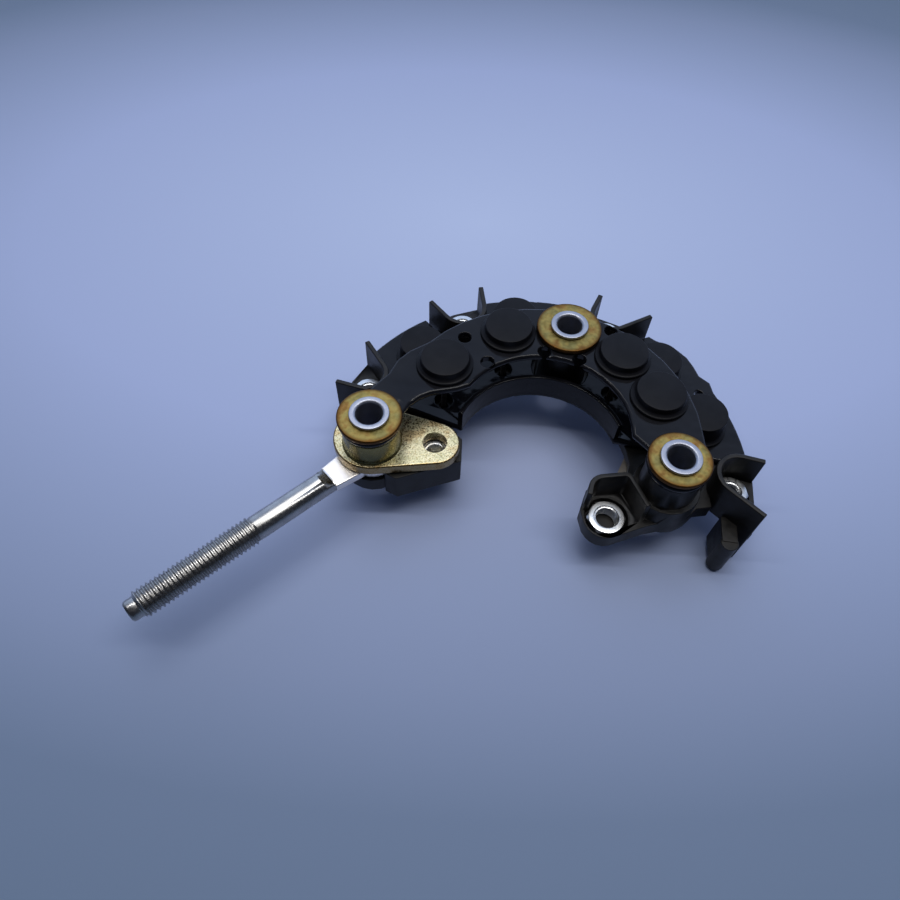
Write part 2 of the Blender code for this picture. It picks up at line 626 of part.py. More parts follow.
def make_strap(name, path, mat):
    """A flat strap with an eye round each lead and terminal hole."""
    outline = hull_of_two(path[0], STRAP_WIDTH / 2, path[1], STRAP_WIDTH / 2, 30.0)
    strap = prism(name, outline, STRAP_BOTTOM, STRAP_TOP, mat)
    for first, second in zip(path[1:], path[2:]):
        outline = hull_of_two(first, STRAP_WIDTH / 2, second, STRAP_WIDTH / 2, 30.0)
        merge(strap, [prism("run", outline, STRAP_BOTTOM, STRAP_TOP)])
    nuts = [place for place, across, bore in nut_list()]
    ends = [place for place in path if place in nuts]
    eye = ARM_NUT_BORE_RADIUS + STRAP_EYE_WALL
    merge(strap, [drum(eye, STRAP_BOTTOM, STRAP_TOP, p, 16) for p in ends])
    radii = [ARM_NUT_BORE_RADIUS if p in ends else LEAD_RADIUS + GAP for p in path]
    return cut(strap, [drum(r, STRAP_BOTTOM - 1, STRAP_TOP + 1, p, 10) for p, r in zip(path, radii)])


def gather(objects):
    """Hang every piece on one empty that puts the legs on z = 0 under the box's middle."""
    bpy.context.view_layer.update()
    corners = [obj.matrix_world @ v.co for obj in objects for v in obj.data.vertices]
    lows = [min(c[i] for c in corners) for i in range(3)]
    highs = [max(c[i] for c in corners) for i in range(3)]
    root = bpy.data.objects.new("rectifier", None)
    bpy.context.collection.objects.link(root)
    root.location = (-(lows[0] + highs[0]) / 2, -(lows[1] + highs[1]) / 2, -lows[2])
    for obj in objects:
        obj.parent = root
    return root


def build():
    clear_scene()
    paint = material("black_paint", (0.012, 0.012, 0.014), 0.35, 0.0)
    plastic = material("brown_plastic", (0.045, 0.035, 0.03), 0.55, 0.0)
    gold = material("gold_plating", (0.72, 0.52, 0.22), 0.35, 1.0)
    zinc = material("white_zinc", (0.72, 0.74, 0.78), 0.35, 1.0)
    steel = material("bright_steel", (0.75, 0.74, 0.70), 0.25, 1.0)
    copper = material("tinned_copper", (0.70, 0.62, 0.52), 0.35, 1.0)
    bush = material("insulating_bush", (0.30, 0.18, 0.09), 0.6, 0.0)
    pieces = [make_upper_heat_sink(paint), make_lower_heat_sink(paint)]
    for i, angle in enumerate(UPPER_DIODE_ANGLES):
        pieces.append(make_diode(f"upper_diode_{i + 1}", diode_place(UPPER_DIODE_RING, angle),
                                 UPPER_TOP, UPPER_DIODE_HEIGHT, paint))
    for i, angle in enumerate(LOWER_DIODE_ANGLES):
        pieces.append(make_diode(f"lower_diode_{i + 1}", diode_place(LOWER_DIODE_RING, angle),
                                 LOWER_TOP, LOWER_DIODE_HEIGHT, paint))
    pieces.append(make_terminal_block(plastic))
    for i, (place, across, bore) in enumerate(nut_list()):
        pieces.append(make_nut(f"terminal_nut_{i + 1}", place, across, bore, NUT_TOP,
                               NUT_HEIGHT, steel, NUT_TURN_STEP * i))
    for side, place in SLEEVE_PLACES.items():
        pieces.append(make_sleeve(f"mounting_sleeve_{side}", place, zinc))
        pieces.append(make_washer(f"plated_washer_{side}", place, WASHER_RADII[side], gold))
        pieces.append(make_bush(f"insulating_bush_{side}", place, bush))
    pieces.append(make_output_base(gold))
    pieces.append(make_nut("output_nut", BASE_EAR_PLACE, NUT_ACROSS_FLATS, NUT_BORE_RADIUS,
                           TANG_TOP - GAP, NUT_HEIGHT, steel, OUTPUT_NUT_TURN))
    pieces.append(make_output_stud(steel))
    for i, path in enumerate(strap_paths()):
        pieces.append(make_strap(f"phase_strap_{i + 1}", path, copper))
    gather(pieces)
    print(len(pieces), "pieces", sum(len(p.data.loop_triangles) for p in pieces))


build()
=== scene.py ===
# %% [markdown]
# # An alternator rectifier, dressed for its portrait
#
# A rectifier turns the three-phase current of a car's alternator into the direct current that
# charges the battery. This one is a sandwich: two C-shaped heat sinks with eight pressed-in
# diodes, a moulded terminal block under them, and a long threaded stud that carries the
# output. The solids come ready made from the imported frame. This script gives them the soft
# edges, threads and finishes of the real thing, lights them and places a camera.

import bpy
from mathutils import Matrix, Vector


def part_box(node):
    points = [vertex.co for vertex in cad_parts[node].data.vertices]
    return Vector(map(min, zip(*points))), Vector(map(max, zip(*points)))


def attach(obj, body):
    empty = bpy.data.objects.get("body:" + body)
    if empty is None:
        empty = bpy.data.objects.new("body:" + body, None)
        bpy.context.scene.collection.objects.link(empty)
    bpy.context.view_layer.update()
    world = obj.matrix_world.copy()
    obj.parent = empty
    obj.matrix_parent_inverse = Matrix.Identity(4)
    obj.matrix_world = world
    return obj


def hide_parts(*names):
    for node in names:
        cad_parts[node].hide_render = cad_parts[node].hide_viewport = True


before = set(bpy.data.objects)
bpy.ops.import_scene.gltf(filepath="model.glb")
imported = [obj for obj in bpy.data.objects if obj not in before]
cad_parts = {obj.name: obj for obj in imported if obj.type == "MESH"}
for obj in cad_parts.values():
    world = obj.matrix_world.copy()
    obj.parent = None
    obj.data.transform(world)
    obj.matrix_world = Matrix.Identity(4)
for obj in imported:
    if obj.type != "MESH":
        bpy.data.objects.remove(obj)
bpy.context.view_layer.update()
print("solids in the frame:", len(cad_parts))

# %% Libraries
from math import acos, atan2, ceil, cos, degrees, hypot, pi, radians, sin

import bmesh
import bpy
from mathutils import Matrix, Vector

# %% [markdown]
# ## One set of coordinates
#
# The rectifier is round, so it is easiest to place things from the centre of its ring. The
# frame's origin is somewhere else, under the middle of the whole assembly. The left mounting
# sleeve is in both: its place on the ring is known, and its solid's box gives its place in the
# frame. The difference between the two moves every new piece to where it belongs. All sizes
# are written in millimetres, with heights counted down from the top of the sleeves.

# %% Find the centre of the ring
MM = 0.001
LEFT, MIDDLE, RIGHT = (-47.65, -1.1), (8.3, 34.3), (35.0, -10.9)
low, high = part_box("mounting_sleeve_left")
RING = Vector(((low[0] + high[0]) / 2 - LEFT[0] * MM, (low[1] + high[1]) / 2 - LEFT[1] * MM,
               high[2]))


def at(x, y, z):
    """A point in the frame, from millimetres on the ring."""
    return RING + Vector((x, y, z)) * MM


def polar(radius, angle, centre=(0.0, 0.0)):
    return (centre[0] + radius * cos(radians(angle)), centre[1] + radius * sin(radians(angle)))


print("ring centre in the frame:", [round(v, 4) for v in RING])

# %% [markdown]
# ## From a bmesh to a piece
#
# Every new piece ends in the same few steps: scale from millimetres, move to the ring, turn
# the faces outwards, shade smoothly up to a chosen angle, give it a material, hang it under the
# body it rides on, and hide the solid it stands for. One helper does all of that.

# %% A helper that finishes a piece
def publish(obj, material, stands_for=()):
    obj.data.materials.clear()
    obj.data.materials.append(material)
    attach(obj, "root")
    if stands_for:
        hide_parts(*stands_for)
    return obj


def make_piece(name, bm, material, stands_for=(), smooth_angle=38):
    bmesh.ops.transform(bm, matrix=Matrix.Translation(RING) @ Matrix.Scale(MM, 4),
                        verts=bm.verts)
    bmesh.ops.recalc_face_normals(bm, faces=bm.faces)
    mesh = bpy.data.meshes.new(name)
    bm.to_mesh(mesh)
    bm.free()
    mesh.shade_smooth()
    mesh.set_sharp_from_angle(angle=radians(smooth_angle))
    obj = bpy.data.objects.new(name, mesh)
    bpy.context.collection.objects.link(obj)
    return publish(obj, material, stands_for)


# %% [markdown]
# ## Reusing a solid that is already right
#
# Some solids have the right shape and only lack good shading. Their meshes are loose
# triangles, so the light breaks on every edge. A copy is welded, its flat neighbours are
# dissolved back into large faces, and then smooth shading with sharp creases works as it does
# on a mesh that was modelled by hand. Dipped paint rounds every outer corner, so a bevel can be
# asked for as well.

# %% A helper that re-skins a solid
def reskin(node, material, smooth_angle=50, rounding=0.0):
    bm = bmesh.new()
    bm.from_mesh(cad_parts[node].data)
    bmesh.ops.remove_doubles(bm, verts=bm.verts, dist=2e-6)
    bmesh.ops.dissolve_limit(bm, angle_limit=radians(0.5), verts=bm.verts, edges=bm.edges)
    if rounding:
        corners = [e for e in bm.edges
                   if e.is_manifold and e.calc_face_angle_signed() > radians(60)]
        bmesh.ops.bevel(bm, geom=corners, offset=rounding * MM, segments=2, profile=0.5,
                        affect="EDGES", clamp_overlap=False, material=-1)
    mesh = bpy.data.meshes.new(node + "_skin")
    bm.to_mesh(mesh)
    bm.free()
    mesh.shade_smooth()
    mesh.set_sharp_from_angle(angle=radians(smooth_angle))
    obj = bpy.data.objects.new(node + "_skin", mesh)
    bpy.context.collection.objects.link(obj)
    lean = obj.modifiers.new("lean_on_large_faces", "WEIGHTED_NORMAL")
    lean.keep_sharp = True
    return publish(obj, material, (node,))


# %% [markdown]
# ## Building materials from small parts
#
# Every finish here is a Principled shader with the same three things on top: a colour that
# drifts between two tones, a roughness that drifts with it, and a fine bump. The helper below
# builds that graph on object coordinates, so a pattern keeps its real size in metres on every
# piece. Values that are the same all over a surface are set on the shader's own sockets.

# %% A helper for the shared node graph
def add_noise(tree, coordinates, size_mm, detail=3.0):
    """A noise texture whose blobs are about this many millimetres across."""
    noise = tree.nodes.new("ShaderNodeTexNoise")
    noise.inputs["Scale"].default_value = 1.0 / (size_mm * MM)
    noise.inputs["Detail"].default_value = detail
    tree.links.new(coordinates, noise.inputs["Vector"])
    return noise.outputs["Fac"]


def add_ramp(tree, factor, stops):
    """A colour ramp with stops of (position, colour)."""
    ramp = tree.nodes.new("ShaderNodeValToRGB")
    elements = ramp.color_ramp.elements
    while len(elements) < len(stops):
        elements.new(0.5)
    for element, (position, colour) in zip(elements, stops):
        element.position = position
        element.color = (*colour, 1.0)
    tree.links.new(factor, ramp.inputs["Fac"])
    return ramp.outputs["Color"]


def add_range(tree, factor, low_value, high_value, start=0.3, end=0.7):
    """Turns a 0 to 1 pattern into a range of values."""
    span = tree.nodes.new("ShaderNodeMapRange")
    span.inputs["From Min"].default_value = start
    span.inputs["From Max"].default_value = end
    span.inputs["To Min"].default_value = low_value
    span.inputs["To Max"].default_value = high_value
    tree.links.new(factor, span.inputs["Value"])
    return span.outputs["Result"]


def add_mix(tree, factor, first, second, blend_type="MIX"):
    """Mixes two colours by a factor, which is a number or a pattern."""
    mix = tree.nodes.new("ShaderNodeMix")
    mix.data_type = "RGBA"
    mix.blend_type = blend_type
    for value, socket in ((factor, mix.inputs[0]), (first, mix.inputs[6]), (second, mix.inputs[7])):
        if isinstance(value, bpy.types.NodeSocket):
            tree.links.new(value, socket)
        else:
            socket.default_value = value
    return mix.outputs[2]


def add_bump(tree, height, distance_mm, strength=1.0, below=None):
    bump = tree.nodes.new("ShaderNodeBump")
    bump.inputs["Strength"].default_value = strength
    bump.inputs["Distance"].default_value = distance_mm * MM
    tree.links.new(height, bump.inputs["Height"])
    if below:
        tree.links.new(below, bump.inputs["Normal"])
    return bump.outputs["Normal"]


def new_finish(name, metallic=0.0, specular=0.5):
    material = bpy.data.materials.new(name)
    material.use_nodes = True
    tree = material.node_tree
    shader = tree.nodes["Principled BSDF"]
    shader.inputs["Metallic"].default_value = metallic
    shader.inputs["Specular IOR Level"].default_value = specular
    where = tree.nodes.new("ShaderNodeTexCoord").outputs["Object"]
    return material, tree, shader, where


# %% [markdown]
# ## Black epoxy paint
#
# The heat sinks are dipped in thick black paint. It pools and sags before it cures, so the
# surface rolls gently over several millimetres and shines at the edges. Two bumps at
# different scales give the sag and a faint orange peel.

# %% Black paint for the heat sinks
def black_paint():
    material, tree, shader, where = new_finish("dipped_black_paint", specular=0.20)
    drift = add_noise(tree, where, 9.0)
    fine = add_noise(tree, where, 0.9, 2.0)
    colour = add_ramp(tree, drift, [(0.3, (0.006, 0.006, 0.008)), (0.7, (0.010, 0.010, 0.012))])
    tree.links.new(colour, shader.inputs["Base Color"])
    tree.links.new(add_range(tree, drift, 0.05, 0.13), shader.inputs["Roughness"])
    sag = add_bump(tree, add_noise(tree, where, 5.0, 1.0), 0.25, 0.8)
    peel = add_bump(tree, fine, 0.02, 0.6, sag)
    tree.links.new(peel, shader.inputs["Normal"])
    return material


PAINT = black_paint()
print("made", PAINT.name)

# %% [markdown]
# The diode cans wear the same black, but thinner and duller: their flat tops look dark grey
# and scatter the light.

# %% Dull black for the diode cans
def can_black():
    material, tree, shader, where = new_finish("dull_black_can", specular=0.13)
    drift = add_noise(tree, where, 4.0)
    grain = add_noise(tree, where, 0.35, 3.0)
    colour = add_ramp(tree, drift, [(0.3, (0.004, 0.004, 0.0055)), (0.7, (0.007, 0.007, 0.009))])
    tree.links.new(colour, shader.inputs["Base Color"])
    tree.links.new(add_range(tree, grain, 0.36, 0.50), shader.inputs["Roughness"])
    tree.links.new(add_bump(tree, grain, 0.02, 0.7), shader.inputs["Normal"])
    return material


CAN = can_black()
print("made", CAN.name)

# %% [markdown]
# ## Brown moulding compound
#
# The terminal block is a brown-black thermoset, matt and slightly cloudy, with a dusty
# lighter tone where the mould's skin has rubbed off.

# %% Brown moulded plastic
def brown_plastic():
    material, tree, shader, where = new_finish("brown_moulding", specular=0.28)
    cloud = add_noise(tree, where, 3.0, 5.0)
    grain = add_noise(tree, where, 0.4, 2.0)
    colour = add_ramp(tree, cloud, [(0.35, (0.006, 0.0055, 0.005)), (0.65, (0.015, 0.013, 0.011))])
    tree.links.new(colour, shader.inputs["Base Color"])
    tree.links.new(add_range(tree, cloud, 0.34, 0.52), shader.inputs["Roughness"])
    tree.links.new(add_bump(tree, grain, 0.03, 0.5), shader.inputs["Normal"])
    return material


PLASTIC = brown_plastic()
print("made", PLASTIC.name)

# %% [markdown]
# ## Yellow chromated zinc
#
# The washers and the output base are steel, zinc plated and passivated yellow. The film is
# thin enough to show colours, so it wanders from straw to olive and darkens to orange brown
# where it is thick or rubbed.

# %% Gold plating
def gold_plating(name, straw, olive, brown, edge, rough, sand_mm=0.45, sand_depth_mm=0.05,
                 spots_weight=0.5):
    """The three tones lie in patches, and the edge tone follows the piece's rim attribute."""
    material, tree, shader, where = new_finish(name, metallic=1.0)
    patches = add_noise(tree, where, 4.6, 3.0)
    speckle = add_noise(tree, where, sand_mm, 4.0)
    base = add_ramp(tree, patches, [(0.37, brown), (0.49, straw), (0.63, olive)])
    spots = add_ramp(tree, speckle, [(0.36, (0.45, 0.38, 0.24)), (0.60, (1.0, 1.0, 1.0))])
    film = add_mix(tree, spots_weight, base, spots, "MULTIPLY")
    rim = tree.nodes.new("ShaderNodeAttribute")
    rim.attribute_name = "rim"
    colour = add_mix(tree, rim.outputs["Fac"], film, (*edge, 1.0))
    tree.links.new(colour, shader.inputs["Base Color"])
    tree.links.new(add_range(tree, speckle, rough, rough + 0.18), shader.inputs["Roughness"])
    tree.links.new(add_bump(tree, speckle, sand_depth_mm, 0.6), shader.inputs["Normal"])
    return material


WASHER_GOLD = gold_plating("yellow_chromate_washer", (0.33, 0.25, 0.08), (0.25, 0.215, 0.08),
                           (0.26, 0.145, 0.045), (0.10, 0.045, 0.012), 0.40, 1.2, 0.05, 0.5)
BASE_GOLD = gold_plating("yellow_chromate_base", (0.78, 0.70, 0.45), (0.63, 0.58, 0.35),
                         (0.64, 0.50, 0.27), (0.20, 0.11, 0.025), 0.22, 0.45, 0.07, 0.75)
# Darker copy of the plating for the boss: painted shade, with lighter rims as painted highlights.
BOSS_SHADE_AND_HIGHLIGHT_GOLD = gold_plating("chromate_painted_shade_and_highlight", (0.10, 0.10, 0.045), (0.05, 0.055, 0.035),
                         (0.13, 0.11, 0.045), (0.24, 0.20, 0.08), 0.18, 0.6, 0.02)
print("made", WASHER_GOLD.name, BASE_GOLD.name, BOSS_SHADE_AND_HIGHLIGHT_GOLD.name)

# %% [markdown]
# Only a mesh knows where its own rim is, so each plated piece carries a number on every vertex:
# 1 at the rim and 0 on the faces. On the washers and the flange the rim is where the film is thick
# and brown. On the boss the rim tone is a lighter gold at its foot and top edge, a painted
# highlight. The shader reads it as an attribute and fades between the two.

# %% A helper that marks rims
def mark_rim(obj, weight):
    """Stores a number on every vertex, worked out from its place in millimetres."""
    values = obj.data.attributes.new("rim", "FLOAT", "POINT")
    for vertex, value in zip(obj.data.vertices, values.data):
        value.value = weight((vertex.co - RING) / MM)


# %% [markdown]
# ## White metal
#
# The sleeves have a bluish satin zinc, the stud and nuts a brighter nickel-like coat. Both are
# the same graph with other numbers. The stud's flat tang gets a near-white copy of the stud's
# coat: a painted highlight where its flat top mirrors the lamps.

# %% Plain metals
def plated(name, light, dark, rough, grain_mm=0.6, grain_depth_mm=0.015):
    material, tree, shader, where = new_finish(name, metallic=1.0)
    drift = add_noise(tree, where, 3.0, 3.0)
    grain = add_noise(tree, where, grain_mm, 3.0)
    colour = add_ramp(tree, drift, [(0.3, dark), (0.7, light)])
    tree.links.new(colour, shader.inputs["Base Color"])
    tree.links.new(add_range(tree, grain, rough, rough + 0.12), shader.inputs["Roughness"])
    tree.links.new(add_bump(tree, grain, grain_depth_mm, 0.5), shader.inputs["Normal"])
    return material


ZINC = plated("white_zinc_finish", (0.41, 0.42, 0.47), (0.34, 0.35, 0.40), 0.36)
STEEL = plated("bright_stud_finish", (0.46, 0.45, 0.43), (0.35, 0.34, 0.33), 0.20, 0.9, 0.003)
# The tang's near-white colour is a painted highlight, a lit copy of the stud's own coat.
LIT_TANG_STEEL = plated("tang_finish_painted_highlight", (1.0, 0.94, 0.86), (0.90, 0.84, 0.78), 0.30, 0.6, 0.004)
NUT_STEEL = plated("bright_nut_finish", (0.80, 0.80, 0.79), (0.66, 0.66, 0.65), 0.24, 1.2, 0.003)
COPPER = plated("tinned_strap_finish", (0.66, 0.60, 0.52), (0.52, 0.44, 0.36), 0.35)
print("made", ZINC.name, STEEL.name, LIT_TANG_STEEL.name, NUT_STEEL.name, COPPER.name)

# %% [markdown]
# ## Pieces that keep their solid's shape
#
# The heat sinks, the moulding, the straps and the bushes are already right, so they are
# re-skinned.

# %% Re-skin the large pieces
for node in ("upper_heat_sink", "lower_heat_sink"):
    reskin(node, PAINT, rounding=0.35)
reskin("terminal_block", PLASTIC, rounding=0.25)
for number in range(1, 5):
    reskin(f"phase_strap_{number}", COPPER)
for side in ("left", "middle", "right"):
    reskin(f"insulating_bush_{side}", PLASTIC)
print("re-skinned the heat sinks, the block, the straps and the bushes")

# %% [markdown]
# ## Turned pieces
#
# Diode cans, washers and sleeves are round. Each is a profile of (radius, height) points spun
# once about its axis. The corners of the profile are bevelled afterwards, so that each rim
# catches a line of light.

# %% A helper that spins a profile
def spin_profile(profile, place, steps=72, tilt=None):
    bm = bmesh.new()
    verts = [bm.verts.new((r, 0.0, z)) for r, z in profile]
    closed = min(r for r, z in profile) > 0
    pairs = list(zip(verts, verts[1:])) + ([(verts[-1], verts[0])] if closed else [])
    edges = [bm.edges.new(pair) for pair in pairs]
    bmesh.ops.spin(bm, geom=verts + edges, cent=(0, 0, 0), axis=(0, 0, 1), angle=2 * pi,
                   steps=steps, use_merge=True)
    bmesh.ops.remove_doubles(bm, verts=bm.verts, dist=1e-4)
    bmesh.ops.translate(bm, vec=(place[0], place[1], 0), verts=bm.verts)
    return bm


def soften(profile, radius, count=3):
    """Rounds each corner of a profile whose ends lie on the axis or that is closed."""
    points = [Vector(p) for p in profile]
    closed = min(p.x for p in points) > 0
    result = []
    for i, point in enumerate(points):
        if not closed and i in (0, len(points) - 1):
            result.append(tuple(point))
            continue
        before, after = points[i - 1] - point, points[(i + 1) % len(points)] - point
        reach = min(radius, before.length * 0.45, after.length * 0.45)
        start, end = point + before.normalized() * reach, point + after.normalized() * reach
        for k in range(count + 1):
            t = k / count
            result.append(tuple(start * (1 - t) ** 2 + point * 2 * t * (1 - t) + end * t ** 2))
    return result


# %% [markdown]
# The height of each layer comes from the frame's boxes, so a washer sits where its solid does.

# %% Read layer heights
def height_of(node):
    """Lowest and highest point of a solid, in millimetres from the sleeves' top."""
    box_low, box_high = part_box(node)
    return (box_low[2] - RING.z) / MM, (box_high[2] - RING.z) / MM


UPPER_BOTTOM, UPPER_TOP = height_of("upper_heat_sink")
FIN = UPPER_TOP - UPPER_BOTTOM
LOWER_BOTTOM, CURB_TOP = height_of("lower_heat_sink")
LOWER_TOP = LOWER_BOTTOM + FIN
print("upper heat sink", round(UPPER_BOTTOM, 2), round(UPPER_TOP, 2))
print("lower heat sink", round(LOWER_BOTTOM, 2), round(LOWER_TOP, 2))

# %% Diode cans
def diode_can(node, place, seat):
    bottom, top = height_of(node)
    foot = seat + 0.3
    profile = [(0, top), (6.9, top), (7.05, foot + 1.3), (7.7, foot + 0.75), (8.2, foot + 0.55),
               (8.2, foot), (6.2, foot), (6.2, seat - FIN), (0, seat - FIN)]
    make_piece(node + "_can", spin_profile(soften(profile, 0.28), place), CAN,
               (node,))
    stem = [(0, seat - FIN - 0.01), (2.2, seat - FIN - 0.01), (2.0, seat - FIN - 1.0),
            (0.8, seat - FIN - 1.4), (0.8, bottom), (0, bottom)]
    make_piece(node + "_lead", spin_profile(soften(stem, 0.2), place, 36), COPPER)


UPPER_RING, LOWER_RING = 34.0, 50.8
for number, angle in enumerate((145.6, 106.7, 46.3, 17.8), start=1):
    diode_can(f"upper_diode_{number}", polar(UPPER_RING, angle), UPPER_TOP)
for number, angle in enumerate((134.5, 97.0, 41.3, 15.5), start=1):
    diode_can(f"lower_diode_{number}", polar(LOWER_RING, angle), LOWER_TOP)
print("made eight diode cans")

# %% Washers and sleeves
def washer(side, place, radius):
    bottom, top = height_of(f"plated_washer_{side}")
    profile = soften([(4.7, top), (radius - 1.1, top), (radius, top), (radius, bottom),
                      (4.7, bottom)], 0.45)
    disc = make_piece(f"washer_{side}", spin_profile(profile, place), WASHER_GOLD,
                      (f"plated_washer_{side}",))
    centre = Vector(place)
    mark_rim(disc, lambda p: min(1.0, max(0.0, ((p.xy - centre).length - radius + 1.3) * 0.9)))


for side, place, radius in (("left", LEFT, 8.95), ("middle", MIDDLE, 9.6), ("right", RIGHT, 8.6)):
    washer(side, place, radius)
    bottom, top = height_of(f"mounting_sleeve_{side}")
    tube = [(4.15, top), (5.5, top), (5.5, top - 0.8), (4.4, top - 0.8), (4.4, bottom + 0.8),
            (5.5, bottom + 0.8), (5.5, bottom), (3.65, bottom), (3.65, top - 0.5)]
    make_piece(f"sleeve_{side}", spin_profile(soften(tube, 0.25), place), ZINC,
               (f"mounting_sleeve_{side}",))
print("made three washers and three sleeves")

# %% [markdown]
# ## Threads
#
# A thread is a screw surface. One turn's profile, from root to crest and back, is spun about
# the axis while each step also climbs a little, so that a full turn climbs one pitch and the
# next turn starts where the last one ended. Two cuts square off the ends. From each open border
# the rest of the piece is then drawn out, loop after loop, by extruding the border's edges and
# setting the new loop to its own radius and height.

# %% Helpers for threaded pieces
def wind_thread(root, crest, pitch, start, end, steps=72):
    """A threaded surface about z, open at both ends."""
    low_end = start - pitch
    profile = [(root, 0.0), (root, 0.08), (crest, 0.46), (crest, 0.58), (root, 0.96), (root, 1.0)]
    bm = bmesh.new()
    verts = [bm.verts.new((r, 0.0, low_end + part * pitch)) for r, part in profile]
    edges = [bm.edges.new(pair) for pair in zip(verts, verts[1:])]
    turns = ceil((end - low_end) / pitch) + 1
    bmesh.ops.spin(bm, geom=verts + edges, cent=(0, 0, 0), axis=(0, 0, 1), dvec=(0, 0, pitch / steps),
                   angle=2 * pi * turns, steps=steps * turns, use_merge=False)
    bmesh.ops.remove_doubles(bm, verts=bm.verts, dist=0.02)
    for height, facing in ((start, -1), (end, 1)):
        bmesh.ops.bisect_plane(bm, geom=bm.verts[:] + bm.edges[:] + bm.faces[:],
                               plane_co=(0, 0, height), plane_no=(0, 0, facing), clear_outer=True)
    return bm


def border(bm, height):
    """The open edges that lie at this height."""
    return [e for e in bm.edges
            if e.is_boundary and all(abs(v.co.z - height) < 0.01 for v in e.verts)]


def carry_on(bm, edges, loops):
    """Draws an open border out through loops of (reach, height)."""
    for reach, height in loops:
        grown = bmesh.ops.extrude_edge_only(bm, edges=edges)["geom"]
        fresh = {item for item in grown if isinstance(item, bmesh.types.BMVert)}
        for vert in fresh:
            turn = degrees(atan2(vert.co.y, vert.co.x))
            vert.co = (*polar(reach(turn) if callable(reach) else reach, turn), height)
        edges = [item for item in grown
                 if isinstance(item, bmesh.types.BMEdge) and fresh.issuperset(item.verts)]
    return edges


print("thread helpers ready")

# %% [markdown]
# ## Terminal nuts
#
# Each pocket has a hexagon nut moulded into its floor. Its corners are chamfered by a cone, so
# that the bright upper face is round, and the bore has a real thread. The bore is wound first.
# Its upper border is drawn out over the face and down the hexagon, and the lower border meets
# it underneath. A thin disc of the block's plastic closes the bottom of the bore, so that the
# floor under the block does not show through it.

# %% Nuts
def nut(node, place, across, bore, pitch, turn):
    bottom, top = height_of(node)
    flat = across / 2

    def hexagon(limit):
        def reach(angle):
            lean = (angle - turn) % 60.0 - 30.0
            return min(flat / cos(radians(lean)), flat * 1.12, limit)
        return reach

    bm = wind_thread(bore + 0.26, bore - 0.14, pitch, bottom + 0.5, top - 0.5)
    face = [(bore + 0.30, top - 0.45), (bore + 0.40, top - 0.10), (bore + 0.52, top),
            (flat - 0.30, top), (flat - 0.06, top - 0.06), (hexagon(flat + 0.12), top - 0.25),
            (hexagon(flat + 0.50), top - 0.55), (hexagon(across), top - 0.85),
            (hexagon(across), bottom + 0.4), (hexagon(flat), bottom)]
    outer = carry_on(bm, border(bm, top - 0.5), face)
    inner = carry_on(bm, border(bm, bottom + 0.5), [(bore + 0.3, bottom + 0.4), (bore + 0.6, bottom)])
    bmesh.ops.bridge_loops(bm, edges=outer + inner)
    bmesh.ops.translate(bm, vec=(place[0], place[1], 0), verts=bm.verts)
    piece = make_piece(node + "_threaded", bm, NUT_STEEL, (node,), 25)
    piece.modifiers.new("soft_rims", "WEIGHTED_NORMAL").keep_sharp = True


ARM, EAR, NUT_RING = (18.8, -18.6), (-29.9, -0.9), 56.0
places = [polar(NUT_RING, angle) for angle in (156.6, 114.4, 64.2, -8.5)] + [ARM]
for number, place in enumerate(places, start=1):
    node = f"terminal_nut_{number}"
    across, bore, pitch = (10.0, 3.1, 1.0) if place == ARM else (9.0, 2.6, 0.8)
    nut(node, place, across, bore, pitch, 15.0 * (number - 1))
    level = height_of(node)[0] + 0.4
    lid = [(0, level + 0.4), (bore + 0.3, level + 0.4), (bore + 0.3, level), (0, level)]
    make_piece(f"bore_floor_{number}", spin_profile(lid, place, 36), PLASTIC)
nut("output_nut", EAR, 9.0, 2.6, 0.8, 20.0)
print("made six nuts and the floors of five bores")

# %% [markdown]
# ## The output base
#
# A thick oblong flange carries a round boss. The flange is a plate with bevelled rims and two
# holes cut by a Boolean; the boss is turned, with a small fillet where it meets the flange.

# %% Helpers for plates
def plate(outline, bottom, top, rounding):
    """A flat plate with rounded rims."""
    bm = bmesh.new()
    face = bm.faces.new([bm.verts.new((x, y, bottom)) for x, y in outline])
    grown = bmesh.ops.extrude_face_region(bm, geom=[face])
    lifted = [item for item in grown["geom"] if isinstance(item, bmesh.types.BMVert)]
    bmesh.ops.translate(bm, vec=(0, 0, top - bottom), verts=lifted)
    rims = [e for e in bm.edges if abs(e.verts[0].co.z - e.verts[1].co.z) < 1e-6]
    bmesh.ops.bevel(bm, geom=rims, offset=rounding, segments=3, profile=0.5, affect="EDGES",
                    material=-1)
    return bm


def loose_object(name, bm):
    """A plain object in millimetres, used only while something is being cut."""
    bmesh.ops.recalc_face_normals(bm, faces=bm.faces)
    mesh = bpy.data.meshes.new(name)
    bm.to_mesh(mesh)
    bm.free()
    obj = bpy.data.objects.new(name, mesh)
    bpy.context.collection.objects.link(obj)
    return obj


def drill(bm, holes, low_end, high_end):
    """Cuts round holes of (place, radius) through a bmesh and gives a new bmesh."""
    body = loose_object("drilled", bm)
    for place, radius in holes:
        bit = spin_profile([(0, low_end), (radius, low_end), (radius, high_end), (0, high_end)],
                           place, 64)
        bit = loose_object("bit", bit)
        modifier = body.modifiers.new("drill", "BOOLEAN")
        modifier.operation = "DIFFERENCE"
        modifier.solver = "EXACT"
        modifier.object = bit
        graph = bpy.context.evaluated_depsgraph_get()
        baked = bpy.data.meshes.new_from_object(body.evaluated_get(graph))
        body.modifiers.clear()
        body.data = baked
        bpy.data.objects.remove(bit, do_unlink=True)
    result = bmesh.new()
    result.from_mesh(body.data)
    bpy.data.objects.remove(body, do_unlink=True)
    return result


